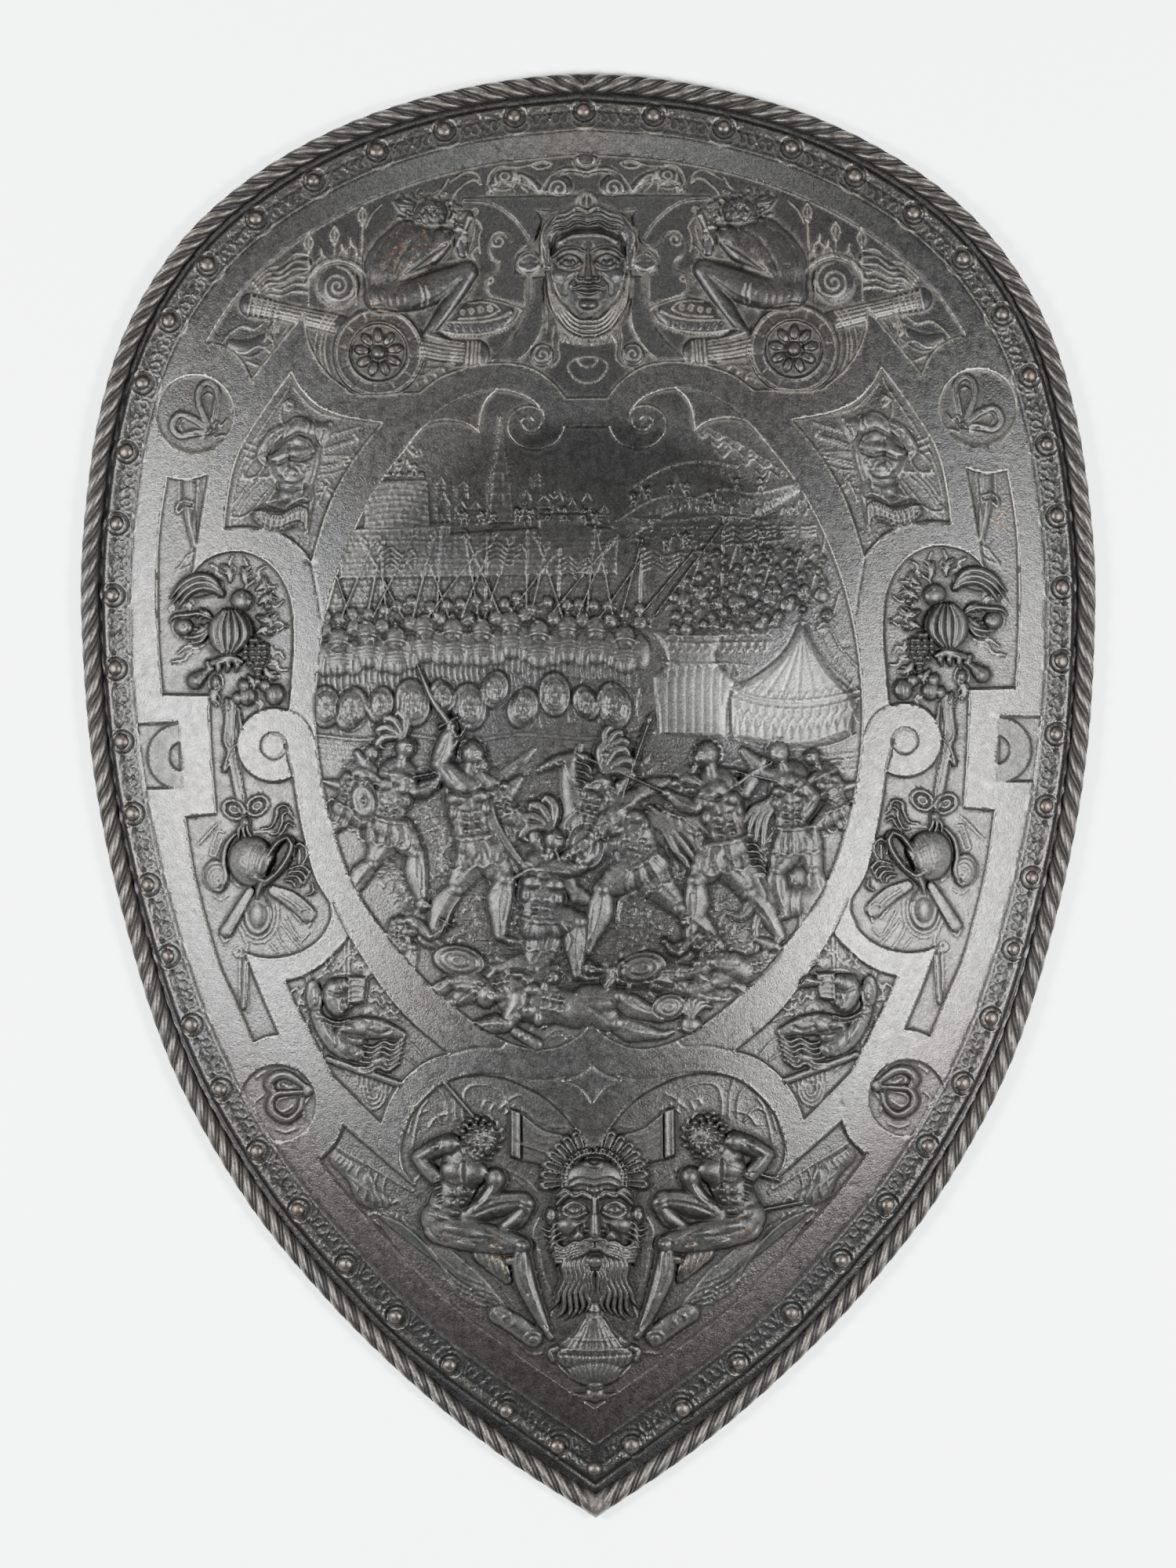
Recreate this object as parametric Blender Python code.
"""A parade shield lying face up on its rim.

One embossed iron plate with a turned, roped edge,
and its domed rivets. The plate and its carving are drawn in
millimetres on a sheet 450 wide and 640 long, as seen from straight above,
and the sheet is scaled to WIDTH and
LENGTH. The carving is a height map: straps at 0, windows sunk between them, and figures raised out of the
windows. The front is meshed closely and then thinned,
which leaves more corners where the carving needs them.
"""
import math

import bmesh
import bpy
import numpy as np
from mathutils import Vector
from mathutils.geometry import delaunay_2d_cdt

# Driving sizes, in metres
LENGTH = 0.640
WIDTH = 0.450
RISE = 0.059            # how far the middle of the plate stands above its rim
FOOT = 0.0006           # height of the plate's own edge line above the ground
THICKNESS = 0.0014      # sheet left behind a window
RELIEF = 1.0            # multiplies the height of all the carving
WINDOW_DEPTH = 0.0011
ROUNDEL_DEPTH = 0.0008
BAND_STEP = 0.0006      # the rivet band lies this much under the plain band
ROPE_WIDTH = 0.0080
ROPE_HEIGHT = 0.0082
ROPE_TWIST = 0.0006     # height of a strand over the valley beside it
ROPE_STRANDS = 192
RIVET_HEAD_RADIUS = 0.0033
RIVET_HEAD_HEIGHT = 0.0024
RIVET_SHANK_RADIUS = 0.0015
RIVET_CLEARANCE = 0.00035
RIVET_SEAT = 0.0003
RIVET_TAIL = 0.0004     # how far a shank stands out behind the plate
RIVETS_A_SIDE = 25
RIVET_PITCH = 0.03325
FRONT_FACES = 4880      # triangles on the front
RIVET_SIDES = 5
STEP_STRETCH = 3.4      # how much deeper the windows count while the mesh is thinned
STEP_SLACK = 0.3        # how far a strap's meshed edge may stray, in sheet millimetres

# The drawing sheet
SHEET_LENGTH = 640.0
SHEET_WIDTH = 450.0
SX = WIDTH * 1000 / SHEET_WIDTH
SY = LENGTH * 1000 / SHEET_LENGTH
CROWN = 15.0            # sheet height of the plate's highest level
RIVET_BAND = 22.2       # inner edge of the rivet band, in from the outline
PLAIN_BAND = (12.4, 12.6, 10.4)   # width of the plain band at the sides, the point and the top
RIVET_LINE = 14.7
C = 1                   # a third value on a point marks a sharp corner

OUTLINE = [(0, 320), (52, 314.4), (101.6, 300.3), (145, 277.5), (178.6, 248.4), (203.5, 210), (217, 168),
           (224, 118),
           (225, 75), (220.5, 14), (208.8, -47), (187.5, -116.4), (156, -175), (120.2, -220.6),
           (82, -259), (42, -292)]
FLOOR = WINDOW_DEPTH * 1000


def spline(points, closed=False, step=2.0):
    """A smooth curve through the points; a point with a third value is a sharp corner."""
    runs, n = [], len(points)
    corner = [i for i, p in enumerate(points) if len(p) > 2]
    pts = np.array([p[:2] for p in points], float)
    if closed:
        if not corner:
            idx = list(range(n)) + [0]
            ring = np.vstack([pts[-1], pts, pts[0], pts[1]])
            return catmull(ring, step)[:-1]
        k = corner[0]
        pts = np.roll(pts, -k, axis=0)
        pts = np.vstack([pts, pts[:1]])
        corner = [c - k for c in corner] + [n]
    else:
        corner = sorted(set([0] + corner + [n - 1]))
    out = []
    for a, b in zip(corner[:-1], corner[1:]):
        seg = pts[a:b + 1]
        if len(seg) == 2:
            ring = seg
            m = max(1, int(np.hypot(*(seg[1] - seg[0])) / (3 * step)))
            t = np.linspace(0, 1, m + 1)[:, None]
            c = seg[0] * (1 - t) + seg[1] * t
        else:
            ring = np.vstack([2 * seg[0] - seg[1], seg, 2 * seg[-1] - seg[-2]])
            c = catmull(ring, step)
        out.append(c[:-1])
    out = np.vstack(out)
    if not closed:
        out = np.vstack([out, pts[-1:]])
    return out

def catmull(ring, step):
    out = []
    for p0, p1, p2, p3 in zip(ring[:-3], ring[1:-2], ring[2:-1], ring[3:]):
        m = max(1, int(math.ceil(np.hypot(*(p2 - p1)[:2]) / step)))
        t = (np.arange(m) / m)[:, None]
        out.append(0.5 * (2 * p1 + (p2 - p0) * t + (2 * p0 - 5 * p1 + 4 * p2 - p3) * t ** 2
                          + (3 * p1 - p0 - 3 * p2 + p3) * t ** 3))
    out.append(ring[-2][None])
    return np.vstack(out)

def arc(cx, cy, r, a0, a1, n=12, ry=None):
    a = np.radians(np.linspace(a0, a1, n))
    return [(cx + r * math.cos(t), cy + (ry or r) * math.sin(t)) for t in a]

def spiral(cx, cy, r0, r1, a0, turns, n=28):
    t = np.linspace(0, 1, n)
    a = np.radians(a0 + 360 * turns * t)
    r = r0 + (r1 - r0) * t ** 0.8
    return [(cx + q * math.cos(s), cy + q * math.sin(s)) for q, s in zip(r, a)]

class Carver:
    """A height map over the drawing sheet, in millimetres above the straps' face."""

    def __init__(self, half_width, low, high, step):
        self.step = step
        self.x = np.arange(-half_width, half_width + step / 2, step)
        self.y = np.arange(low, high + step / 2, step)
        self.h = np.zeros((len(self.y), len(self.x)), np.float32)
        self.floor = 0.0
        self.place()

    def place(self, x=0, y=0, turn=0, scale=1, side=1, flip=1):
        """Sets where the next shapes go: side -1 is the left half, flip -1 mirrors in place."""
        t = math.radians(turn)
        self.spot = (x, y, math.cos(t), math.sin(t), scale, side, flip, turn)
        return self

    def sheet(self, pts):
        x, y, c, s, k, side, flip, _ = self.spot
        p = np.asarray([q[:2] for q in pts], float)
        u, v = p[:, 0] * flip * k, p[:, 1] * k
        return np.stack([side * (x + c * u - s * v), y + s * u + c * v], 1)

    def patch(self, lo, hi):
        i0 = max(0, int((lo[0] - self.x[0]) / self.step))
        i1 = min(len(self.x), int((hi[0] - self.x[0]) / self.step) + 2)
        j0 = max(0, int((lo[1] - self.y[0]) / self.step))
        j1 = min(len(self.y), int((hi[1] - self.y[0]) / self.step) + 2)
        if i1 <= i0 or j1 <= j0:
            return None
        X, Y = np.meshgrid(self.x[i0:i1].astype(np.float32), self.y[j0:j1].astype(np.float32))
        return (slice(j0, j1), slice(i0, i1)), X, Y

    def join(self, where, z, mask, soft):
        old = self.h[where]
        if soft:
            d = np.clip(0.5 + 0.5 * (z - old) / soft, 0, 1)
            new = old * (1 - d) + z * d + soft * d * (1 - d)
        else:
            new = np.maximum(old, z)
        self.h[where] = np.where(mask, new, old)

    def blob(self, u, v, ru, rv, top, turn=0, soft=0.0, power=0.5):
        """An oval dome."""
        k, side, flip, base = self.spot[4], self.spot[5], self.spot[6], self.spot[7]
        (cx, cy), = self.sheet([(u, v)])
        a = math.radians(side * (base + flip * turn))
        ru, rv = ru * k, rv * k
        r = max(ru, rv)
        got = self.patch((cx - r, cy - r), (cx + r, cy + r))
        if got is None:
            return
        where, X, Y = got
        dx, dy = X - cx, Y - cy
        p = (dx * math.cos(a) + dy * math.sin(a)) / ru
        q = (-dx * math.sin(a) + dy * math.cos(a)) / rv
        d = 1 - p * p - q * q
        self.join(where, self.floor - 0.2 + (top * k ** 0.5 + 0.2) * np.clip(d, 0, 1) ** power, d > 0, soft)

    def sweep(self, pts, radii, tops, soft=0.0, power=0.5, curved=True):
        """A rounded bar along a smooth curve, its radius and height blended from end to end."""
        k = self.spot[4]
        n = len(pts)
        radii = np.interp(np.linspace(0, 1, n), np.linspace(0, 1, len(np.atleast_1d(radii))),
                          np.atleast_1d(radii))
        tops = np.interp(np.linspace(0, 1, n), np.linspace(0, 1, len(np.atleast_1d(tops))),
                         np.atleast_1d(tops))
        p = np.column_stack([self.sheet(pts), radii * k, tops * k ** 0.5])
        if curved and n > 2:
            ring = np.vstack([2 * p[0] - p[1], p, 2 * p[-1] - p[-2]])
            p = catmull(ring, max(self.step * 2, float(radii.max()) * k * 0.8))
        r = np.maximum(p[:, 2], 1e-3)
        big = float(r.max())
        got = self.patch(p[:, :2].min(0) - big, p[:, :2].max(0) + big)
        if got is None:
            return
        where, X, Y = got
        z = np.full(X.shape, -9, np.float32)
        x0, y0 = X[0, 0], Y[0, 0]
        for a, b, ra, rb in zip(p[:-1], p[1:], r[:-1], r[1:]):
            big = max(ra, rb)
            i0 = max(0, int((min(a[0], b[0]) - big - x0) / self.step))
            i1 = max(0, int((max(a[0], b[0]) + big - x0) / self.step) + 2)
            j0 = max(0, int((min(a[1], b[1]) - big - y0) / self.step))
            j1 = max(0, int((max(a[1], b[1]) + big - y0) / self.step) + 2)
            sub = (slice(j0, j1), slice(i0, i1))
            xs, ys = X[sub], Y[sub]
            if not xs.size:
                continue
            d = b[:2] - a[:2]
            L = float(d @ d) + 1e-9
            t = np.clip(((xs - a[0]) * d[0] + (ys - a[1]) * d[1]) / L, 0, 1)
            q = 1 - ((xs - a[0] - t * d[0]) ** 2 + (ys - a[1] - t * d[1]) ** 2) / (ra + (rb - ra) * t) ** 2
            new = -0.2 + (a[3] + (b[3] - a[3]) * t + 0.2) * np.clip(q, 0, 1) ** power
            z[sub] = np.maximum(z[sub], np.where(q > 0, new, -9))
        self.join(where, self.floor + z, z > -5, soft)

    def inside(self, path, X, Y):
        """The distance in from the path's edge, below 0 outside it."""
        p = path
        best = np.full(X.shape, 1e9, np.float32)
        odd = np.zeros(X.shape, bool)
        for a, b in zip(p, np.roll(p, -1, axis=0)):
            d = b - a
            t = np.clip(((X - a[0]) * d[0] + (Y - a[1]) * d[1]) / (float(d @ d) + 1e-9), 0, 1)
            best = np.minimum(best, (X - a[0] - t * d[0]) ** 2 + (Y - a[1] - t * d[1]) ** 2)
            if a[1] != b[1]:
                odd ^= ((a[1] > Y) != (b[1] > Y)) & (X < d[0] * (Y - a[1]) / d[1] + a[0])
        return np.where(odd, 1, -1) * np.sqrt(best)

    def area(self, pts, smooth=True, pad=1.0):
        path = self.sheet(spline(pts, True) if smooth else pts)
        got = self.patch(path.min(0) - pad, path.max(0) + pad)
        if got is None:
            return None
        where, X, Y = got
        return where, X, Y, self.inside(path, X, Y)

    def plate(self, pts, top, bevel=0.5, smooth=True, soft=0.0):
        """A flat raised area with a bevelled edge."""
        got = self.area(pts, smooth)
        if got is None:
            return
        where, X, Y, d = got
        z = self.floor + top * np.clip(d / bevel, 0, 1)
        self.join(where, z, d > 0, soft)

    def sink(self, pts, depth, bevel=0.6, smooth=True, only=None):
        """A flat recessed area with a sloped edge."""
        got = self.area(pts, smooth)
        where, X, Y, d = got
        if only is not None:
            d = np.minimum(d, only[where])
        z = -depth * np.clip(d / bevel, 0, 1)
        self.h[where] = np.where(d > 0, np.minimum(self.h[where], z), self.h[where])


CENTRE = ([(0, 162.6, C), (9.7, 162.6, C), (11.8, 158), (14.3, 155.1), (19.4, 152.9), (24.4, 152.7),
           (29, 154), (32.4, 156.8),
           (34.5, 160.2), (34.9, 164.2), (33.4, 167.8), (30.6, 170.2), (26.7, 171.6), (22.7, 171.3),
           (20.2, 170, C),
           (22, 172.6), (25.5, 175.3), (29.5, 177.1), (34.5, 178.6), (39.6, 179.1, C), (43.8, 175),
           (46.3, 169.8), (47.8, 160.5, C),
           (50.5, 162.9), (54.7, 164.9), (61.5, 165.8), (67.4, 165.2), (72.5, 162.4), (80.6, 152.6),
           (91.2, 138.7), (100.8, 122),
           (108.8, 103.4), (114.6, 84.9), (118.3, 66.3), (120.2, 47.7), (120.5, 29.2), (118.9, 12.4),
           (115.3, -6.1),
           (109.4, -26.6), (102, -43), (93.3, -56), (83.7, -68.4), (74, -79.8), (63, -90.4), (50, -100.5),
           (38, -107.7),
           (27, -111.2), (18, -111.2), (10.6, -108.6), (4.7, -104.8), (0, -100, C)])

TOP = ([(165.6, 201.6, C), (160.5, 199.8), (154.5, 195.9), (150.5, 190.5), (148.2, 184.8, C),
        (124.2, 214.2, C)]
       + arc(87, 212.3, 37.2, -2, -68, 8)[0:] + [(73.7, 178, C), (65.3, 184.2), (58.3, 187.2),
                                                 (51.3, 189.3), (44.6, 190.4),
       (37.2, 190.7), (29.8, 190), (23.1, 187.8), (17.4, 184.1), (12.8, 179.6), (9.5, 175.1, C)])

BOTTOM = [(119.7, -158.8, C), (114.4, -153.6), (111.4, -148.2), (110.1, -143.8, C), (79.3, -170.5, C),
          (84.1, -163.7), (85.2, -156.3),
          (83.6, -149), (79.9, -140.1), (74, -132.7), (66.6, -126.4), (57.8, -122.9), (48.9, -122),
          (38.6, -123.5), (29.5, -127.2),
          (20.9, -132), (13.5, -138.6), (7.7, -146), (3.2, -151.9), (0, -156.3, C)]

CUIRASS = [(130.3, 188, C), (126, 180.2), (118.2, 172.6), (108, 168.2), (98.5, 166.2), (89.8, 165, C),
           (98.6, 154.4), (107.5, 141.5),
           (115.2, 125.5), (121.8, 104, C), (124.6, 108), (128.8, 112.2), (134, 115.8), (141, 118.4),
           (150.6, 119.4), (160.6, 119.2, C),
           (159.8, 128), (157.3, 142.4), (154, 152.6), (148.7, 161.9), (141.3, 173)]

SWAG = ([(186, 142.5, C), (179, 141.2), (172.5, 141.8), (167, 143.6, C), (171, 121), (174.4, 99.8, C),
         (170.4, 104.2), (164.6, 107.5),
         (156, 109.2), (147, 107.5), (139.2, 102.3), (133.6, 94.5), (130.6, 84.9), (129.8, 70),
         (130.6, 55), (132, 39.4, C)]
        + arc(139, 23.6, 16.0, 112, -120, 18)
        + [(130.5, 10.6, C), (128.3, -4.3), (125.7, -18), (121.2, -35), (114.4, -46.4, C), (114.2, -52.7),
           (117, -59), (121.6, -64),
           (129.3, -68.4), (138.7, -70.4), (146.6, -70), (152.4, -68.2, C), (145, -87.3),
           (137.6, -104.4, C), (143.5, -105.2),
           (149.7, -107.9, C), (157.6, -88.9), (164.6, -73.1), (170.1, -54.3), (174.1, -38.6),
           (176.6, -26), (179.2, -7.6, C),
           (165.4, -6.3, C), (167.2, 20), (168.2, 45.5, C), (188.8, 46, C), (190.3, 66.3), (190.9, 88.6),
           (190.4, 110.9), (188.7, 127)])

TORSO = [(106.5, -60.6, C), (110.4, -65.5), (115.1, -70.2), (121.4, -75.2), (128.4, -78.6),
         (135.2, -80.6, C), (130.9, -90.4),
         (124.6, -103), (119.4, -113), (114.5, -122.6, C), (93.1, -144, C), (90.2, -135.7), (86, -128.3),
         (79.9, -121.5), (71.4, -115.6),
         (62.2, -112.8, C), (68.8, -107.4), (80.4, -97.6), (91.3, -84.6), (99.4, -72)]


ROUNDELS = ((173.2, 170.2, 17.3, 52, 318), (139, -134.6, 17.2, 25, 290))
NOTCH = [(181, 34), (179.6, 4.6), (192.8, 4.1), (194.8, 12), (196.6, 22), (197.9, 33.4)]

# The outline, its offsets and the plate's swell


def half_outline():
    """The right half of the outline on the sheet, from the top to the point."""
    line = spline([(-52, 314.4)] + OUTLINE + [(0, -320, C)], False, 1.0)
    start = int(np.argmin(np.hypot(line[:, 0], line[:, 1] - 320)))
    return line[start:]


HALF = half_outline()
HALF *= (SHEET_WIDTH / 2 / HALF[:, 0].max(), 1)
HALF_REAL = HALF * (SX, SY)
ALONG = np.concatenate([[0], np.cumsum(np.hypot(*np.diff(HALF_REAL, axis=0).T))])
GIRTH = 2 * ALONG[-1]


def rim_at(t):
    return np.array([np.interp(np.clip(t, 0, ALONG[-1]), ALONG, HALF_REAL[:, k]) for k in (0, 1)])


def edge_point(s, inset):
    """The point on the plan, in real millimetres, that lies inset from the outline at girth s."""
    s = s % GIRTH
    side = 1 if s <= ALONG[-1] else -1
    t = s if side == 1 else GIRTH - s
    p, a, b = (rim_at(t + e) for e in (0, -2, 2))
    d = (b - a) / np.hypot(*(b - a))
    n = np.array([d[1], -d[0]])
    if t < 1e-6:
        n = np.array([0.0, -1.0])
    # near the point the insets turn towards the middle line, so they meet there
    left = ALONG[-1] - t
    reach = 2.3 * max(inset, 4)
    if left < reach:
        q = HALF_REAL[-1] - HALF_REAL[-8]
        q /= np.hypot(*q)
        n = np.array([q[1], -q[0]])
        n = n + (np.array([0, 1 / n[1]]) - n) * (1 - left / reach)
    p = p + n * inset
    if left < 1e-6 or t < 1e-6:
        p[0] = 0.0
    return np.array([side * p[0], p[1]])


def half_width(y):
    """The plate's half width at a sheet height, by its square so that the rounded top stays round."""
    ys = HALF[::-1, 1]
    return np.sqrt(np.interp(y, ys, HALF[::-1, 0] ** 2) + 1e-6)


def swell(x, y):
    """Height in real millimetres of the plain plate's face over a plan point in real millimetres."""
    u, v = np.asarray(x) / SX, np.asarray(y) / SY
    w = half_width(np.clip(v, -320, 320))
    f = 1 - ((v - CROWN) / np.where(v > CROWN, 320 - CROWN, 320 + CROWN)) ** 2
    return (FOOT + RISE * np.clip(f, 0, 1) * np.clip(1 - (u / w) ** 2, -0.02, 1)) * 1000


def band_scale(y):
    return np.interp(y, [-320, -200, -60, 60, 200, 320], [1.26, 1.16, 1.02, 1.0, 1.07, 1.14])


def plain_edge(s, extra=0.0):
    """A sheet point on the plain band's inner edge."""
    p = edge_point(s, 30) / (SX, SY)
    wide = band_scale(p[1])
    plain = np.interp(p[1], [-320, -60, 60, 320], [PLAIN_BAND[1], PLAIN_BAND[1], PLAIN_BAND[0],
                                                   PLAIN_BAND[2]])
    q = edge_point(s, RIVET_BAND * wide + plain + extra) / (SX, SY)
    return (float(q[0]), float(q[1]))


def field(path, upper):
    """Closes the top or bottom window's drawn side with the plain band's edge."""
    corner = np.array(path[0][:2])
    s = np.linspace(0, GIRTH / 2, 140) if upper else np.linspace(GIRTH / 2, 0, 140)
    side = []
    for t in s:
        q = plain_edge(t)
        if (q[1] - corner[1]) * (1 if upper else -1) < 1.5:
            break
        side.append(q)
    return [(side[0][0], side[0][1], C)] + side[4::4] + list(path)


def both(path):
    """A window that crosses the middle line: its right half and the mirror of it."""
    return list(path) + [(-q[0],) + tuple(q[1:]) for q in reversed(path) if abs(q[0]) > 0.01]


def windows():
    """Every window as (closed sheet path, depth)."""
    out = [(spline(both(CENTRE), True), WINDOW_DEPTH), (spline(both(field(TOP, True)), True), WINDOW_DEPTH),
           (spline(both(field(BOTTOM, False)), True), WINDOW_DEPTH)]
    for side in (1, -1):
        for path in (CUIRASS, SWAG, TORSO):
            out.append((spline(path, True) * (side, 1), WINDOW_DEPTH))
        for cx, cy, r, a0, a1 in ROUNDELS:
            out.append((np.array(arc(cx, cy, r, a0, a1, 22)) * (side, 1), ROUNDEL_DEPTH))
        out.append((np.array([q[:2] for q in NOTCH]) * (side, 1), ROUNDEL_DEPTH))
    return out


def ring_of(inset, count):
    return [edge_point(GIRTH * i / count, inset) for i in range(count)]


def thin(path, slack):
    """Drops the corners a closed path can do without."""
    far = int(np.argmax(np.hypot(*(path - path[0]).T)))

    def cut(a, b):
        if b <= a + 1:
            return []
        p, q = path[a], path[b % len(path)]
        d = q - p
        span = np.hypot(*d) + 1e-9
        seg = path[a + 1:b]
        off = np.abs((seg[:, 0] - p[0]) * d[1] - (seg[:, 1] - p[1]) * d[0]) / span
        k = int(np.argmax(off))
        if off[k] < slack:
            return []
        k += a + 1
        return cut(a, k) + [k] + cut(k, b)

    keep = [0] + cut(0, far) + [far] + cut(far, len(path))
    return path[keep]


def inset_path(path, gap):
    """The closed path moved inwards by gap, and the inward direction at each corner."""
    area = 0.5 * np.sum(path[:, 0] * np.roll(path[:, 1], -1) - np.roll(path[:, 0], -1) * path[:, 1])
    turn = 1 if area > 0 else -1
    before, after = path - np.roll(path, 1, axis=0), np.roll(path, -1, axis=0) - path
    before /= np.hypot(*before.T)[:, None] + 1e-9
    after /= np.hypot(*after.T)[:, None] + 1e-9
    n1, n2 = (np.stack([-d[:, 1], d[:, 0]], 1) * turn for d in (before, after))
    m = n1 + n2
    m /= np.hypot(*m.T)[:, None] + 1e-9
    stretch = 1 / np.clip((m * n1).sum(1), 0.45, 1)
    return path + m * (gap * stretch)[:, None], m


# The carving's main forms

PLATES = [
    [(0, 265.3, C), (17, 265.3), (54.1, 265, C), (55.5, 263.6), (52, 262.9), (45.5, 262.6), (40.5, 261),
     (35.5, 257.7),
     (31.4, 254), (28.1, 249.8), (25.4, 245.5, C), (24.6, 243.4), (21.5, 247.4), (20.3, 252.3),
     (20.2, 255.6), (21.9, 258.5, C),
     (0, 257, C)],
    [(25.6, 243.6, C), (28.9, 241.8), (32, 242.6), (33.6, 246.5), (37.5, 248.2), (41.6, 246), (43, 241.5),
     (42, 237.4, C),
     (38.8, 235.4, C), (39.2, 231.2, C), (43.6, 229.4), (44.3, 223.4), (42.5, 220.4, C), (35, 218.2),
     (27.4, 216.2, C),
     (27, 229), (31, 231), (31.2, 238)],
    [(24.4, 229, C), (24.2, 223.8), (24.8, 217.6), (26.9, 213.5), (29.8, 206.9), (33.9, 201.1),
     (38.9, 195.7), (43, 191.8, C),
     (30.8, 191.4, C), (26.5, 194.9), (22.3, 200.2), (20, 205.2), (19.2, 209.3), (19.2, 217.6),
     (18.8, 229.2, C)]]


def strap_cartouche(s):
    """The scrolled frame round the upper mask."""
    for side in (1, -1):
        s.place(x=0.6 * side, side=side)
        s.floor = -FLOOR
        for path in PLATES[1:]:
            s.plate(path, FLOOR, 0.5)
        s.blob(25.5, 235.2, 5.6, 5.4, 2.4)
        s.plate(arc(20, 194, 5.4, 0, 340, 18), 1.2, 0.7)
        s.blob(11.5, 269.5, 5.6, 5.2, 1.6)
        s.sweep([(-1, 275.5), (6.6, 277), (12.4, 275), (17, 267.5)], (1.2, 1.6, 1.4), 1.2)
        s.sweep([(20, 268), (27, 273), (38, 274), (42, 268)], (1.6, 2.6, 1.8), (1.0, 1.7, 1.2))
    s.place(x=0.6)
    s.plate(both(PLATES[0]), FLOOR, 0.5)
    s.blob(0.2, 282, 5, 3, 1.4)

def upper_mask(s):
    s.floor = -FLOOR
    s.place(x=1.2)
    s.blob(0, 232, 16.5, 23, 4.2)
    s.blob(0, 222, 12, 16, 4.6, soft=1)
    for side in (1, -1):
        s.place(x=1.2 * side, side=side)
        s.sweep([(1.5, 242), (7, 244.5), (14, 242.5)], (2.6, 3.2, 2.4), (6.0, 5.8, 4.6), soft=0.8)
        s.blob(8.5, 238, 4.2, 2.6, 5.2, soft=0.6)
        s.blob(9.5, 229.5, 4.6, 5, 5.8, soft=1.2)
        s.sweep([(2, 257), (12, 254.5), (18, 247), (19.5, 238)], (4, 4, 3), (4.2, 4.0, 3.0), soft=0.6)
        s.sweep([(17.8, 234), (17, 220), (13, 209), (2, 201.5)], (1.6, 2, 2.6, 3), (2.4, 3, 3.4, 3.2),
                soft=0.6)
    s.place(x=1.2)
    s.sweep([(0, 243), (0, 234), (0, 230)], (2.2, 2.8, 4.2), (6.2, 7.4, 8.0), soft=1.0)
    s.sweep([(-7, 224.4), (0, 226), (7, 224.4)], 1.8, 6.4, soft=0.6)
    s.sweep([(-5, 220.5), (0, 219.5), (5, 220.5)], 2.0, 6.2, soft=0.6)
    s.blob(0, 214.8, 5.4, 4, 6.6, soft=1)
    s.blob(0, 206, 9, 6, 4.6, soft=1)
    s.blob(-0.4, 262.5, 4.2, 4.6, 2.6)

def wheel(s, x, y, r):
    s.plate(arc(x, y, r, 0, 340, 30), 1.5, 0.7, soft=0)
    s.plate(arc(x, y, r * 0.6, 0, 340, 24), 2.0, 0.6)
    s.blob(x, y, r * 0.48, r * 0.48, 2.8)
    s.blob(x, y, 3.8, 3.8, 4.2)

def upper_field(s, side):
    s.place(side=side)
    s.floor = -FLOOR
    # gun barrel, its wheel and the spiral drum
    s.sweep([(149.5, 218.6), (108, 208.6)], (3.6, 4.6), 2.0, curved=False)
    s.sweep([(148, 218.2), (139.5, 216.2)], (5.4, 4.6), 2.6, curved=False)
    s.sweep([(80, 198.6), (52, 195.8)], (5.6, 5.8), 2.2, curved=False)
    s.sweep([(56, 196), (49, 195.2)], 6.6, 2.6, curved=False)
    s.blob(45.5, 194.8, 3.2, 5.2, 2.0)
    wheel(s, 91.6, 196.2, 20.4)
    s.blob(109.5, 226, 9.2, 9.2, 2.0, power=0.25)
    s.sweep(arc(109.5, 223, 14.5, 20, 160, 12), 1.2, 1.2)
    # the beaded buckler under the seated figure
    s.blob(48, 210.5, 17, 8.5, 2.2, turn=-14)
    # the seated figure, its back to the shield's edge
    s.sweep([(68, 245), (78, 243), (86, 233), (86, 224)], (8.5, 12, 12, 10), (4.6, 6.2, 6.2, 5.6), soft=1.2)
    s.sweep([(84, 250), (94, 238), (95, 224), (90, 216)], (2.2, 3, 3, 3), (3.2, 3.6, 3.8, 3.2), soft=0.8)
    s.sweep([(64, 246), (69, 239), (77, 233)], (6, 5.4, 4), (5.6, 5.6, 4.6), soft=0.9)
    s.sweep([(90, 221), (74, 223), (60, 228), (52, 232)], (8.4, 8.2, 6.4, 4.6), (6.2, 6.4, 6.0, 5.4),
            soft=0.8)
    s.sweep([(51.5, 231.5), (57, 223), (64, 212), (69.5, 204.6)], (4.4, 4.4, 3.4, 2.4),
            (5.4, 4.8, 3.8, 2.8), soft=0.5)
    s.sweep([(69.5, 204.6), (64, 202), (60, 200.5)], (2.4, 2.2, 1.6), (2.8, 2.4, 1.8), soft=0.4)
    s.blob(69.5, 256.5, 9.2, 6.4, 4.8, turn=-12, soft=0.6)
    s.blob(82, 259.5, 5.4, 5, 5.2, soft=0.5)
    s.blob(84, 265, 4.8, 3.8, 3.8, soft=0.5)
    # the small standing figure between it and the mask
    s.sweep([(52, 256), (55, 250), (54, 240)], (3, 3.6, 2.6), (2.6, 2.8, 2.2), soft=0.4)
    # standard at the side
    s.sweep([(124, 236), (132, 233), (140, 227)], (3.4, 3.6, 2.4), (1.4, 1.6, 1.2))
    s.sweep([(141, 203), (149, 199), (157, 201)], (3, 4, 2.4), (1.2, 1.5, 1.1))
    # knot in the roundel
    s.floor = -0.8
    s.blob(166, 178.5, 3.8, 6.4, 2.0, turn=-8)
    s.blob(176.5, 166.5, 5.4, 5, 2.2)
    s.sweep([(160, 163.5), (166, 163), (171, 163)], (2, 2.4, 1.6), 1.6)

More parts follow.
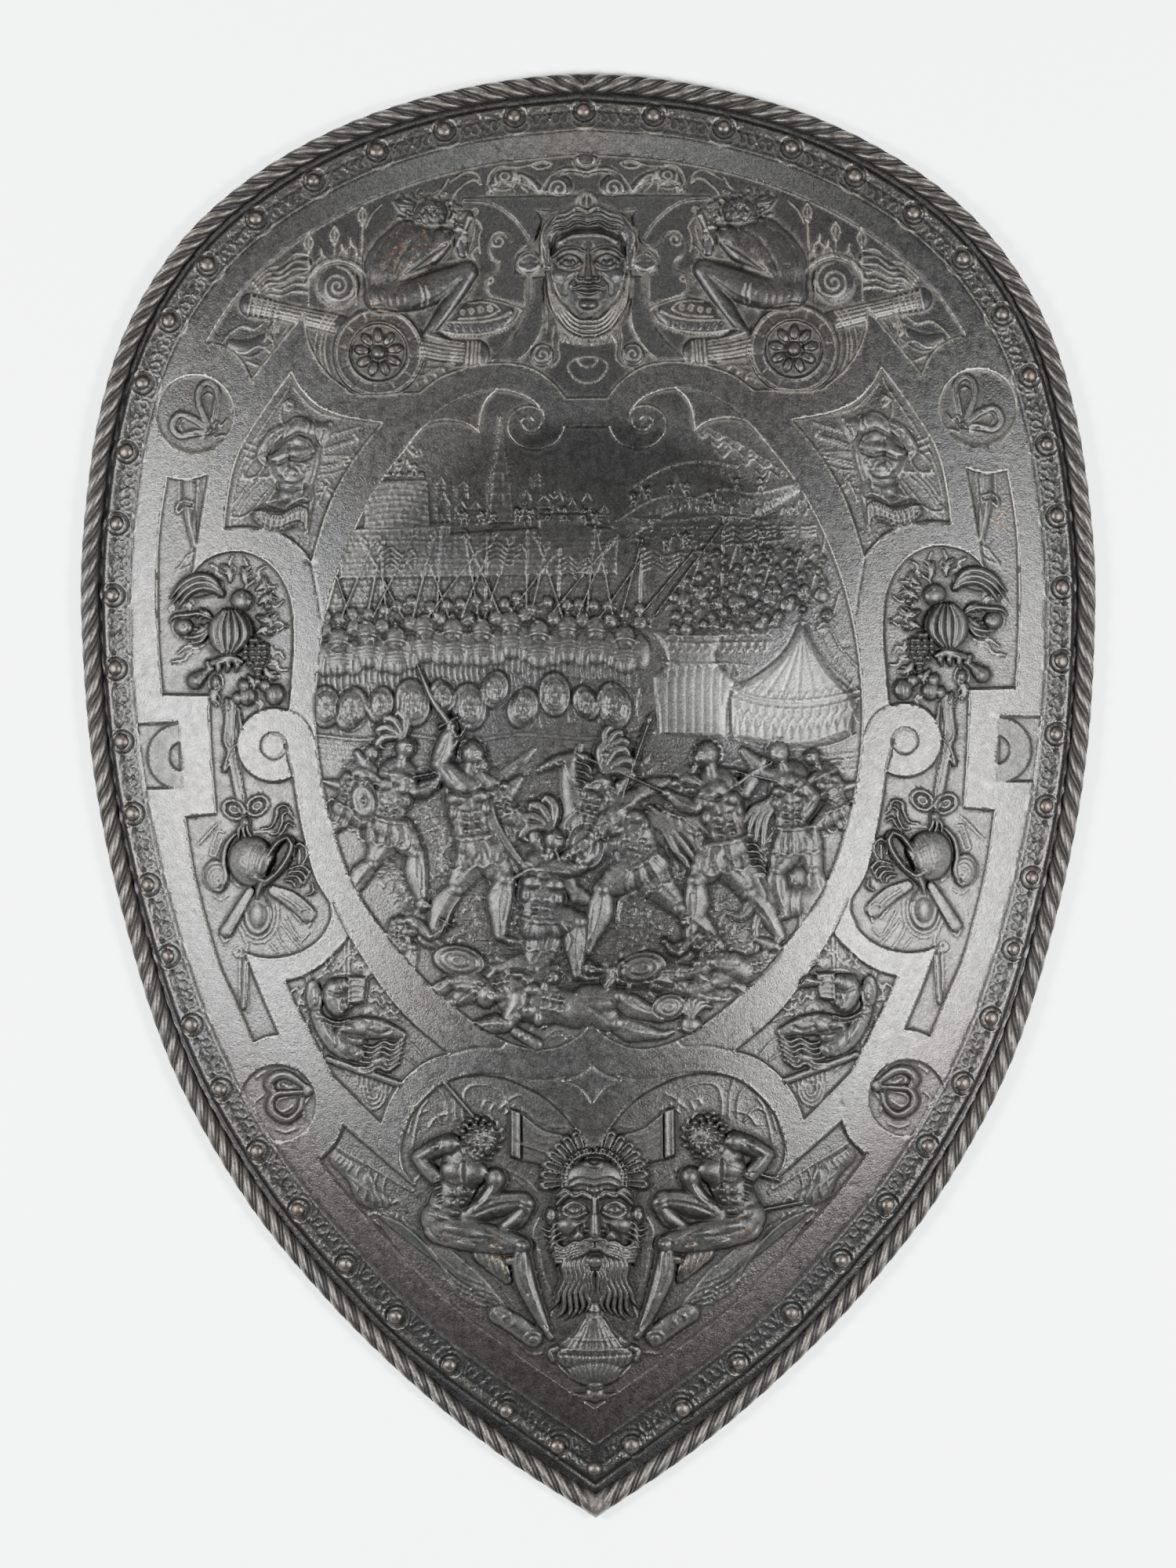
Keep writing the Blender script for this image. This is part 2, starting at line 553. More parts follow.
def cuirass(s, side):
    s.place(side=side)
    s.floor = -FLOOR
    s.sweep([(115.5, 162), (121, 161.6)], (5.2, 4.6), 3.4, curved=False, soft=0.6)
    s.sweep([(121, 165), (130, 165), (136, 157)], (4, 5, 4.6), (3.6, 4.4, 3.6), soft=0.8)
    s.blob(128, 153, 9.8, 9.5, 5.0, soft=1)
    s.blob(131, 146, 7.4, 6.6, 5.4, soft=1)
    s.blob(123, 152, 5.4, 7, 4.8, soft=1)
    s.sweep([(124, 144), (129, 139), (134, 131)], (5.6, 6.4, 5.4), (3.6, 4.6, 4.8), soft=1)
    s.sweep([(123, 129), (133, 127), (146, 127.5)], (5.4, 6.6, 2.6), (3.0, 3.8, 1.8), soft=0.6)
    s.sweep([(122, 124), (133, 122), (142, 125)], (2.8, 3.4, 2), (2.6, 2.8, 1.6), soft=0.6)

def swag(s, side):
    s.place(side=side)
    s.floor = -FLOOR
    s.blob(157.6, 73.8, 8.4, 10.2, 5.8)
    s.blob(154, 89.5, 6, 5, 4.2, soft=0.4)
    s.blob(177.5, 75.5, 6, 4.6, 4.0, turn=10, soft=0.4)
    s.sweep([(165, 93), (172, 95), (179, 93), (184, 88)], (3.2, 3.8, 3.4, 1.6), (2.6, 3.4, 2.8, 1.6),
            soft=0.4)
    s.sweep([(163, 99), (156, 100), (150, 96)], (2.4, 3.2, 2.4), (2.0, 2.6, 2.2), soft=0.4)
    s.sweep([(137, 84), (143, 81), (149, 79)], (3, 3.8, 3), (2, 2.8, 2.4), soft=0.4)
    s.blob(145.5, 65.5, 5.6, 8.4, 3.6, turn=-10)
    s.blob(137.8, 45.8, 4.4, 4.4, 3.6)
    s.blob(150.5, 45.5, 5.6, 4.6, 3.8)
    s.blob(173.5, 54, 3.8, 4, 3.4)
    s.blob(164.5, 51, 3.2, 3.8, 3.0)
    s.sweep([(168, 68), (174, 64), (182, 58)], (3, 2.8, 1.2), (2.4, 2.2, 1.2), soft=0.4)
    s.sweep([(138, 62), (135, 56), (136, 50)], (2.4, 2.4, 1.4), (1.8, 1.8, 1.2), soft=0.4)
    s.sweep([(158, 42), (158.5, 25), (155.5, 8), (153, -6)], (2.2, 1.8, 1.8, 1.6), 1.3)
    # the raised scroll's disc
    s.plate(arc(139, 23.6, 15.9, 0, 345, 30), FLOOR + 0.05, 0.6)
    # helmet, its bow and the shield under it
    s.blob(147, -3.6, 5.4, 5.2, 2.8, turn=-30)
    s.blob(157, -6.2, 4.6, 5.4, 2.8, turn=30)
    s.blob(150, -27.6, 10.6, 11.4, 5.6)
    s.blob(145, -18, 8, 5, 5.0, turn=-30, soft=0.8)
    s.sweep([(145.5, -34.5), (146, -41)], (3, 1.2), (3.4, 1.8), curved=False, soft=0.4)
    s.sweep([(133, -20), (138, -29), (144.5, -35.5)], (1.4, 2.2, 1.4), (3.4, 4.6, 3.8), soft=0.4)
    s.blob(165.3, -33.6, 5.2, 7, 2.8)
    s.sweep([(157, -17), (161, -27), (161, -38)], (1.3, 1.5, 1.2), 1.8)
    s.sweep([(124, -36), (131, -35.5), (138, -34)], (2.4, 2.8, 1.6), (1.6, 2.0, 1.6))
    s.sweep([(122, -54), (131, -45), (141, -40)], (3.2, 3.2, 2.4), (1.5, 1.9, 1.6))
    s.sweep([(149, -42), (156, -50), (161, -60)], (2.4, 2.6, 2.4), (2.0, 2.0, 1.4))
    s.blob(147, -50, 6.8, 10.5, 2.6)
    s.sweep([(152.6, -72), (153.6, -92)], (1.4, 1.2), 1.2, curved=False)
    s.blob(155, -65.8, 3.6, 3.4, 1.4)
    # arms hung in the upper arm of the window
    s.sweep([(176, 139), (176, 128), (173.6, 112)], (3, 2.6, 1.4), (1.3, 1.3, 0.9))
    # letter-D ring
    s.floor = -0.8
    s.plate([(176.9, 34.2, C)] + arc(181, 18.9, 14.6, 88, -88, 16) + [(176.9, 4, C), (176.6, 12.6, C)]
            + arc(179.5, 18.9, 6.2, -80, 80, 10) + [(176.6, 25.2, C)], 0.85, 0.5)

def torso(s, side):
    s.place(side=side)
    s.floor = -FLOOR
    s.blob(117, -86.5, 5, 7.2, 3.4, soft=0.6)
    s.blob(110, -84.5, 7.4, 6.6, 4.4, soft=0.8)
    s.sweep([(104, -79.5), (100.5, -85), (97.5, -92)], (3, 3.6, 3), (2.6, 3.2, 2.4), soft=0.5)
    s.sweep([(113, -94), (108, -100), (105, -108)], (6, 6.8, 6.6), (4.2, 4.8, 4.6), soft=0.8)
    s.blob(103.5, -112, 5.6, 5, 4.4, soft=0.6)
    s.sweep([(100, -100), (92, -103), (84, -104)], (4.4, 3.8, 2.8), (3.0, 2.8, 1.8), soft=0.5)
    s.sweep([(98, -118), (91, -116), (84, -113)], (3, 3.2, 2.4), (2.4, 2.4, 1.6), soft=0.5)
    s.sweep([(117, -104), (108, -117), (95, -124)], (1.4, 1.6, 1.2), 1.4)
    s.floor = -0.8
    s.blob(139, -132, 6.4, 4.6, 1.8, turn=25)
    s.blob(138.5, -143.5, 3.4, 4.8, 1.9)
    s.sweep([(132, -127), (138, -124), (145, -127)], (1.6, 2, 1.4), 1.4)

def lower_mask(s):
    s.floor = -FLOOR
    s.place(x=0.6)
    s.blob(0, -186, 17.5, 22, 4.6)
    s.blob(0, -167, 14, 10, 6.0, soft=1)
    for side in (1, -1):
        s.place(x=0.6 * side, side=side)
        for k, a in enumerate((8, 20, 33, 46, 60, 74)):
            t = math.radians(a)
            s.sweep([(9 * math.sin(t) + 2, -161 + 7 * math.cos(t)), (19 * math.sin(t) + 3,
                                                                     -161 + 17 * math.cos(t))],
                                                                     (1.1, 1.8), (1.8, 2.8))
        s.sweep([(1.6, -178), (6, -176), (13, -178.5)], (2.4, 3, 2), (7.4, 7.0, 5.4), soft=0.8)
        s.blob(8.6, -181.6, 4, 2.6, 5.6, soft=0.5)
        s.blob(11.4, -187.4, 4.6, 4, 6.6, soft=1)
        s.blob(20, -184, 3.4, 5, 3.4, soft=0.5)
        s.sweep([(1, -198.4), (8, -199.6), (16, -197), (21, -199.5)], (2, 2.4, 1.6, 0.9),
                (6.4, 5.4, 3.4, 2.0), soft=0.6)
        s.sweep([(6, -203), (8, -212), (5, -221)], (3.6, 3.4, 1.6), (5.0, 4.4, 2.4), soft=0.8)
    s.place(x=0.6)
    s.sweep([(0, -176), (0, -186), (0, -193)], (2.2, 2.6, 4.4), (7.4, 8.4, 9.2), soft=1.0)
    s.blob(0, -205.4, 4.6, 3, 6.4, soft=0.8)
    s.sweep([(0, -210), (0, -218), (0, -227)], (5.4, 4.4, 1.8), (6.0, 4.8, 2.4), soft=0.8)
    s.blob(0, -159, 4.6, 4.6, 5.0, soft=0.5)

def lower_field(s, side):
    s.place(side=side)
    s.floor = -FLOOR
    s.blob(49.5, -149.5, 9, 8, 5.6, soft=0.6)
    s.sweep([(61, -148.6), (70, -150.6), (78, -155)], (5.6, 4.6, 4), (5.4, 5.0, 3.8), soft=0.8)
    s.sweep([(78, -156), (72, -162), (67, -167)], (3.8, 4.4, 4.4), (3.6, 4.2, 4.4), soft=0.8)
    s.blob(62, -163, 8.4, 8, 6.2, soft=1.2)
    s.blob(51, -165.6, 6.8, 7.4, 6.2, soft=1.2)
    s.blob(43.4, -169, 4.8, 8.2, 5.0, turn=-12, soft=0.9)
    s.sweep([(60, -172), (65, -180), (68, -188)], (8.4, 9.4, 9.6), (5.6, 5.8, 5.8), soft=1.2)
    s.sweep([(56, -183), (40, -177), (28, -177.5)], (6, 6.4, 5), (4.2, 4.8, 4.0), soft=0.8)
    s.sweep([(26, -178), (30, -186), (37, -192)], (4.6, 4.6, 3.4), (4.0, 3.6, 2.8), soft=0.6)
    s.sweep([(68, -189), (52, -193), (38, -196), (32, -198)], (9, 8.4, 6.6, 5), (6.6, 6.8, 6.4, 5.8),
            soft=0.9)
    s.sweep([(32.4, -198), (30.5, -212), (25, -226), (21, -236)], (5, 4.8, 3.6, 2.4),
            (5.6, 5.2, 4.2, 3.0), soft=0.6)
    s.sweep([(23.4, -233), (19, -238.6)], (2.6, 1.8), (3.0, 2.2), curved=False, soft=0.4)
    s.sweep([(50, -202), (42, -207), (38, -213)], (3.6, 4.6, 2.2), (2.6, 3.4, 2.0), soft=0.6)
    s.plate([(36, -136.5, C), (30.5, -137, C), (30.5, -161, C), (36.4, -160, C)], 2.6, 0.7)
    s.plate([(30.5, -138.6, C), (22, -146), (12, -149, C), (20, -163, C), (30.5, -161, C)], 1.2, 0.7)
    s.sweep([(92, -185), (74, -197), (56, -210), (40, -226)], (2, 4, 4, 2), (1.2, 2.0, 2.0, 1.4))
    s.sweep([(43, -228), (36, -233), (29, -239.5)], (4.4, 5, 5), (2.4, 2.8, 2.6))
    s.sweep([(112, -160), (104, -166), (100, -175), (92, -178)], (4, 5, 5, 3), (1.4, 1.8, 1.8, 1.2))

def vase(s):
    s.floor = -FLOOR
    s.place(x=0.2)
    s.sweep([(0, -225.5), (0, -230), (0, -236), (0, -243)], (2.4, 3, 7.5, 14), (2.2, 2.4, 3.0, 3.4))
    s.blob(0, -247.5, 18.4, 6.6, 3.6, soft=0.3)
    s.blob(0, -253.4, 12, 7.6, 3.6, soft=0.3)
    s.sweep([(0, -258), (0, -264)], 4.2, 2.4, curved=False)
    s.sweep([(-8.4, -265.4), (8.4, -265.4)], 1.9, 2.2, curved=False)
    for side in (1, -1):
        s.place(side=side)
        s.sweep([(16.6, -243.5), (19.6, -245.4), (18.4, -249)], (1.8, 1.6, 1.4), 2.6)

def man(s, x, y, k, pose, flip=1, bulk=1.0):
    """One fighter from a table of joints, in millimetres at scale 1 (about 70 tall), the ground at 0."""
    s.place(x=x, y=y, scale=k, flip=flip)
    s.floor = -FLOOR
    P = {n: np.array(v, float) for n, v in pose.items() if n not in ("arm", "arm2", "leg", "leg2")}
    sh, hip, head = P["shoulder"], P["hip"], P["head"]
    mid = (sh + hip) / 2 + P.get("bend", np.array((0, 0)))
    b = bulk
    def limb(pts, radii, tops):
        s.sweep([tuple(p) for p in pts], [r * b for r in radii], tops, soft=0.5)
    back = P.get("shoulder2", sh + (3, 1))
    if "leg2" in pose:
        a, c, d = pose["leg2"]
        limb([hip + (2, 0), a, c], (4.6, 3.6, 2.0), (2.4, 2.4, 1.8))
        limb([c, d], (2.2, 1.4), (1.8, 1.4))
    if "arm2" in pose:
        a, c = pose["arm2"]
        limb([back, a, c], (3.0, 2.2, 1.5), (2.4, 2.2, 1.8))
    limb([sh, mid, hip], (6.6, 6.0, 6.0), (3.5, 3.6, 3.5))
    s.blob(sh[0], sh[1] - 1, 6.8, 5.4, 3.9, soft=0.6)
    a, c, d = pose["leg"]
    limb([hip, a, c], (5.4, 4.0, 2.2), (3.7, 3.4, 2.6))
    limb([c, d], (2.4, 1.5), (2.5, 1.8))
    limb([sh * 0.75 + head * 0.25, head], (2.6, 2.6), (3.3, 3.3))
    s.blob(head[0], head[1], 4.0, 4.5, 4.2, soft=0.3)
    a, c = pose["arm"]
    limb([sh, a, c], (3.6, 2.6, 1.7), (4.2, 3.8, 3.2))

STRIDE = dict(head=(6, 62), shoulder=(3, 51), hip=(-1, 33), arm=[(10, 45), (19, 50)], arm2=[(-6, 50),
                                                                                            (-12, 60)],
              leg=[(10, 22), (12, 3), (18, 1)], leg2=[(-7, 18), (-17, 4), (-13, 0)])
RAISED = dict(head=(2, 60), shoulder=(0, 50), hip=(2, 32), arm=[(-9, 57), (-5, 69)], arm2=[(10, 46),
                                                                                           (17, 52)],
              leg=[(12, 20), (10, 2), (16, 0)], leg2=[(-4, 17), (-12, 2), (-8, -1)])
KNEEL = dict(head=(3, 44), shoulder=(0, 34), hip=(-2, 17), arm=[(10, 35), (16, 44)], arm2=[(9, 28),
                                                                                           (15, 24)],
             leg=[(11, 18), (10, 1), (16, 0)], leg2=[(-4, 3), (-16, 3), (-19, 0)])
LUNGE = dict(head=(12, 55), shoulder=(7, 46), hip=(-3, 30), arm=[(15, 38), (24, 32)], arm2=[(0, 52),
                                                                                            (-9, 56)],
             leg=[(12, 22), (17, 3), (23, 2)], leg2=[(-12, 16), (-25, 4), (-22, 0)])
TURNED = dict(head=(-4, 60), shoulder=(0, 50), hip=(1, 31), arm=[(9, 44), (4, 35)], arm2=[(-10, 53),
                                                                                          (-17, 61)],
              leg=[(-5, 17), (-2, 1), (-8, -1)], leg2=[(9, 17), (15, 2), (20, 0)])
FALLEN = dict(head=(-31, 10), shoulder=(-20, 9), hip=(-1, 5), arm=[(-24, 0), (-36, -1)], arm2=[(-16, 16),
                                                                                               (-7, 19)],
              leg=[(14, 9), (28, 2), (33, 4)], leg2=[(13, 0), (27, -4), (32, -3)])

def battle(s):
    s.place()
    s.floor = -FLOOR
    # the walled town and its round tower
    s.plate([(-99, 116, C), (-98, 140, C), (-70, 140, C), (-69, 116, C)], 1.1, 0.8)
    s.plate([(-110, 96, C), (-104, 118), (-60, 121, C), (-60, 116, C), (-22, 118, C), (-22, 124, C),
             (0, 124, C), (0, 119, C),
             (14, 117, C), (13, 97, C)], 0.9, 0.8)
    s.plate([(-44, 120, C), (-42.5, 140, C), (-40.5, 150, C), (-38, 166, C), (-35.5, 150, C),
             (-33.5, 140, C), (-32, 120, C)], 1.0, 0.8)
    # hills
    s.sweep([(16, 118), (40, 134), (66, 128), (92, 136)], (6, 9, 8, 4), 1.0)
    # tents
    s.plate([(94, 79, C), (88, 66), (79, 56), (63, 47.5, C), (61.5, 42, C), (63, 24, C), (92, 20),
             (116, 26, C), (118.5, 39, C),
             (117, 44, C), (107, 54), (99, 66)], 1.7, 3.0)
    s.plate([(28, 72, C), (34, 60), (28, 52, C), (30, 26, C), (60, 25, C), (61, 40), (64, 50), (56, 60),
             (60, 72, C)], 1.1, 2.0)
    # ranks of soldiers: helmets, shoulders and horses' backs
    for i in range(11):
        x = -112 + 12.6 * i
        y = 74 + 2.2 * math.sin(i * 2.4) - 0.0009 * (x + 40) ** 2
        s.blob(x + 2, y, 4.8, 5.6, 2.6)
        s.blob(x + 2, y - 9, 6.0, 7.0, 2.2, soft=0.5)
        s.blob(x - 4, y - 31, 6.8, 9.4, 2.6)
    for i in range(9):
        s.blob(42 + 7.6 * i, 86 + 3 * math.sin(i * 1.9), 3.2, 3.4, 1.5)
    # the fighters in front
    man(s, -90, -44, 0.96, STRIDE, bulk=1.2)
    man(s, 90, -46, 1.0, TURNED, bulk=1.2)
    man(s, -58, -56, 1.14, RAISED, bulk=1.2)
    man(s, 60, -58, 1.18, STRIDE, flip=-1, bulk=1.2)
    man(s, 26, -64, 1.2, LUNGE, flip=-1, bulk=1.2)
    man(s, -20, -70, 1.12, KNEEL, bulk=1.2)
    man(s, -6, -96, 1.15, FALLEN, bulk=1.2)
    man(s, 66, -76, 0.8, FALLEN, flip=-1, bulk=1.1)
    s.place()
    s.blob(-2, -22, 9, 11, 4.4)
    s.blob(-58, -70, 11, 6.5, 2.8, turn=-12)
    s.blob(34, -93, 8, 6, 3.4, turn=14)


def raised_plates():
    """Flat pieces of strapwork that stand in the windows, as sheet paths."""
    out = []
    for side in (1, -1):
        out += [spline(p, True) * (side, 1) + (0.6, 0) for p in PLATES[1:]]
        out.append(np.array(arc(91.6 * side, 196.2, 20.4, 0, 337, 16)))
    top = spline(both(PLATES[0]), True)
    return out + [top + (0.6, 0)]

def carve():
    """The whole carving as a height map on the sheet."""
    s = Carver(228, -324, 324, 1.0)
    x, y = np.meshgrid(s.x, s.y)
    outline = np.vstack([HALF, HALF[::-1][1:-1] * (-1, 1)])[::3]
    s.band = s.inside(outline, x, y) / band_scale(y)
    s.h -= np.float32(BAND_STEP * 1000) * np.clip((RIVET_BAND - s.band) / 0.7, 0, 1).astype(np.float32)
    for path, depth in windows():
        s.sink(path, depth * 1000, smooth=False)
    for path in raised_plates():
        s.floor = -FLOOR
        s.plate(path, FLOOR, 0.6, smooth=False)
    s.straps = s.h.copy()
    strap_cartouche(s)
    for side in (1, -1):
        upper_field(s, side)
        cuirass(s, side)
        swag(s, side)
        torso(s, side)
        lower_field(s, side)
    upper_mask(s)
    lower_mask(s)
    vase(s)
    battle(s)
    return s


# Meshing


class Sheet:
    """Looks up heights on the carved sheet."""

    def __init__(self):
        self.carved = carve()

    def relief(self, x, y, layer="h"):
        """Height in real millimetres of a layer of the carving, over a plan point in real millimetres."""
        c = self.carved
        u = np.clip((np.asarray(x) / SX - c.x[0]) / c.step, 0, len(c.x) - 1.001)
        v = np.clip((np.asarray(y) / SY - c.y[0]) / c.step, 0, len(c.y) - 1.001)
        i, j = u.astype(int), v.astype(int)
        u, v = u - i, v - j
        h = getattr(c, layer)
        low = h[j, i] * (1 - u) + h[j, i + 1] * u
        high = h[j + 1, i] * (1 - u) + h[j + 1, i + 1] * u
        return (low * (1 - v) + high * v) * RELIEF

    def face(self, x, y):
        return swell(x, y) + self.relief(x, y)


def inside_path(points, path):
    odd = np.zeros(len(points), bool)
    for a, b in zip(path, np.roll(path, -1, axis=0)):
        if a[1] != b[1]:
            hit = (b[0] - a[0]) * (points[:, 1] - a[1]) / (b[1] - a[1]) + a[0]
            odd ^= ((a[1] > points[:, 1]) != (b[1] > points[:, 1])) & (points[:, 0] < hit)
    return odd


def triangulate(plan, edges, border, holes):
    """Constrained triangles over plan points, with nothing outside the border or in the holes."""
    got = delaunay_2d_cdt([Vector(p) for p in plan], edges, [], 0, 1e-4, True)
    pts = np.array([(v.x, v.y) for v in got[0]])
    tris = np.array([f[:] for f in got[2]])
    source = [o[0] if o else -1 for o in got[3]]
    mid = pts[tris].mean(axis=1)
    keep = inside_path(mid, np.array(plan)[border])
    for h in holes:
        ring = np.array(plan)[h]
        near = np.hypot(*(mid - ring.mean(axis=0)).T) < 6
        keep[near] &= ~inside_path(mid[near], ring)
    a, b, c = (pts[tris[:, k]] for k in range(3))
    size = (b[:, 0] - a[:, 0]) * (c[:, 1] - a[:, 1]) - (b[:, 1] - a[:, 1]) * (c[:, 0] - a[:, 0])
    tris[size < 0] = tris[size < 0][:, ::-1]
    return pts, tris[keep], source


def reduce_faces(verts, faces, kept, count):
    """Merges corners of a dense surface, staying near its form, and leaves the kept ones as they are."""
    mesh = bpy.data.meshes.new("dense")
    mesh.from_pydata(verts, [], [tuple(int(k) for k in f) for f in faces])
    obj = bpy.data.objects.new("dense", mesh)
    bpy.context.collection.objects.link(obj)
    group = obj.vertex_groups.new(name="free")
    kept = set(kept)
    group.add([k for k in range(len(verts)) if k not in kept], 1.0, "REPLACE")
    mod = obj.modifiers.new("reduce", "DECIMATE")
    mod.decimate_type = "COLLAPSE"
    mod.vertex_group = group.name
    mod.use_collapse_triangulate = True
    mod.ratio = count / len(faces)
    got = obj.evaluated_get(bpy.context.evaluated_depsgraph_get()).to_mesh()
    out = [tuple(v.co) for v in got.vertices], [tuple(p.vertices) for p in got.polygons]
    bpy.data.objects.remove(obj)
    return out


def rivet_places():
    """Every rivet's name, middle on the plate's face, outward direction and plate depth there."""
    out = [("Rivet_Top", 0.0)]
    pitch = RIVET_PITCH * 1000 * ALONG[-1] / 858.6
    for k in range(1, RIVETS_A_SIDE + 1):
        out += [("Rivet_Right_%02d" % k, k * pitch), ("Rivet_Left_%02d" % k, GIRTH - k * pitch)]
    out.append(("Rivet_Point", GIRTH / 2))
    places = []
    for name, s in out:
        rough = edge_point(s, 16)
        x, y = edge_point(s, RIVET_LINE * band_scale(rough[1] / SY))
        z = float(swell(x, y)) - BAND_STEP * 1000 * RELIEF
        gx = float(swell(x + 2, y) - swell(x - 2, y)) / 4
        gy = float(swell(x, y + 2) - swell(x, y - 2)) / 4
        n = Vector((-gx, -gy, 1)).normalized()
        places.append((name, Vector((x, y, z)), n))
    return places


def across(n, r, lift=0.0):
    u = n.cross(Vector((0, 1, 0))).normalized()
    v = n.cross(u)
    turns = [math.tau * k / RIVET_SIDES for k in range(RIVET_SIDES)]
    return [u * (r * math.cos(t)) + v * (r * math.sin(t)) + n * lift for t in turns]


def plate_mesh(sheet, places):
    verts, faces = [], []

    def put(p):
        verts.append(tuple(float(c) for c in p))
        return len(verts) - 1

    def zip_rings(a, b):
        i = j = 0
        while i < len(a) or j < len(b):
            if j >= len(b) or (i < len(a) and (i + 0.5) / len(a) <= (j + 0.5) / len(b)):
                faces.append((a[i], a[(i + 1) % len(a)], b[j % len(b)]))
                i += 1
            else:
                faces.append((b[(j + 1) % len(b)], b[j], a[i % len(a)]))
                j += 1

    depth = (WINDOW_DEPTH * RELIEF + THICKNESS) * 1000
    wide, high, twist = ROPE_WIDTH * 1000, ROPE_HEIGHT * 1000, ROPE_TWIST * 1000

    # the rope's rings, from the plate's face over the top, round the outside and back under
    foot = ring_of(wide, 96)
    ring_a = [put((x, y, float(swell(x, y)) - 0.5)) for x, y in foot]
    n = 2 * ROPE_STRANDS
    ring_b, ring_c = [], []
    for i in range(n):
        up = twist if i % 2 == 0 else -twist
        x, y = edge_point(GIRTH * i / n, wide * 0.76 + 0.25 * up)
        ring_b.append(put((x, y, high * 0.93 + up)))
        x, y = edge_point(GIRTH * i / n, wide * 0.24 + 0.25 * up)
        ring_c.append(put((x, y, high * 0.93 - up)))
    ring_e = [put((x, y, high * 0.5)) for x, y in ring_of(0.0, 84)]
    ring_f = [put((x, y, 0.0)) for x, y in ring_of(wide * 0.5, 52)]
    under = ring_of(wide + 1.5, 52)
    ring_g = [put((x, y, max(0.4, float(swell(x, y)) - depth))) for x, y in under]
    for a, b in ((ring_a, ring_b), (ring_b, ring_c), (ring_c, ring_e), (ring_e, ring_f), (ring_f, ring_g)):
        zip_rings(a, b)

    # the holes, square to the plate
    r = (RIVET_SHANK_RADIUS + RIVET_CLEARANCE) * 1000
    front_holes, back_holes = [], []
    for name, spot, nrm in places:
        drop = nrm * (-(depth - BAND_STEP * 1000 * RELIEF) * nrm.z)
        top = [spot + p for p in across(nrm, r)]
        front_holes.append([put(p) for p in top])
        back_holes.append([put(p + drop) for p in top])
        zip_rings(front_holes[-1], back_holes[-1])

    # the front
    plan, ids, fixed, edges = [], [], {}, []
    sunk = {}

    def ring(points, heights=None, known=None, levels=None):
        start = len(plan)
        for k, p in enumerate(points):
            plan.append((float(p[0]), float(p[1])))
            ids.append(known[k] if known else -1)
            if heights is not None:
                fixed[len(plan) - 1] = float(heights[k])
                sunk[len(plan) - 1] = float(levels[k])
        count = len(points)
        edges.extend((start + k, start + (k + 1) % count) for k in range(count))
        return list(range(start, start + count))

    border = ring(foot, known=ring_a)
    holes = [ring([verts[v][:2] for v in h], known=h) for h in front_holes]

    def step_pair(path, gap=0.7):
        """Two rings at a step in the carving: the lip and the foot of it, each at its own side's height."""
        lip = thin(path, STEP_SLACK)
        foot, m = inset_path(lip, gap)
        for pts, way in ((lip, -0.9), (foot, 0.9)):
            real = pts * (SX, SY)
            away = (pts + m * way) * (SX, SY)
            ring(real, swell(real[:, 0], real[:, 1]) + sheet.relief(away[:, 0], away[:, 1]),
                 levels=sheet.relief(away[:, 0], away[:, 1], "straps"))

    for path, _ in windows():
        step_pair(path)
    for path in raised_plates():
        step_pair(path, -0.6)
    lines = []
    for i in range(60):
        s = GIRTH * i / 60
        p = edge_point(s, RIVET_BAND)
        lines.append(edge_point(s, RIVET_BAND * band_scale(p[1] / SY)) / (SX, SY))
    step_pair(np.array(lines), -0.7)

    # points close together where the carving rises or falls, loose ones elsewhere
    c = sheet.carved
    fall = np.maximum.reduce([np.abs(np.roll(c.h, k, axis=a) - c.h) for a in (0, 1) for k in (-1, 1)])
    fall = np.maximum.reduce([np.roll(np.roll(fall, i, axis=0), j,
                                      axis=1) for i in (-1, 0, 1) for j in (-1, 0, 1)])
    for j in range(0, len(c.y), 2):
        for i in range(j % 4 // 2, len(c.x), 2):
            loose = j % 16 == 0 and (i + j // 2) % 8 < 2
            if c.band[j, i] > RIVET_BAND + 1.6 and (fall[j, i] > 0.02 or loose):
                plan.append((float(c.x[i]) * SX, float(c.y[j]) * SY))
                ids.append(-1)

    # the steps are drawn out while faces are merged, so that the straps keep their edges
    pts, tris, source = triangulate(plan, edges, border, holes)
    z = sheet.face(pts[:, 0], pts[:, 1]) + (STEP_STRETCH - 1) * sheet.relief(pts[:, 0], pts[:, 1], "straps")
    joined = []
    for k, s in enumerate(source):
        if s in fixed:
            z[k] = fixed[s] + (STEP_STRETCH - 1) * sunk[s]
        elif s >= 0 and ids[s] >= 0:
            z[k] = verts[ids[s]][2]
            joined.append(k)
    dense = [(p[0], p[1], h) for p, h in zip(pts, z)]
    corners, triangles = reduce_faces(dense, tris, joined, FRONT_FACES)
    known = np.array([dense[k] for k in joined])
    index = []
    for p in corners:
        off = np.abs(known - p).max(axis=1)
        k = int(np.argmin(off))
        if off[k] < 0.002:
            index.append(ids[source[joined[k]]])
            continue
        plain = float(sheet.face(p[0], p[1]) - sheet.relief(p[0], p[1], "straps"))
        index.append(put((p[0], p[1], plain + (p[2] - plain) / STEP_STRETCH)))
    faces.extend(tuple(index[k] for k in t) for t in triangles)

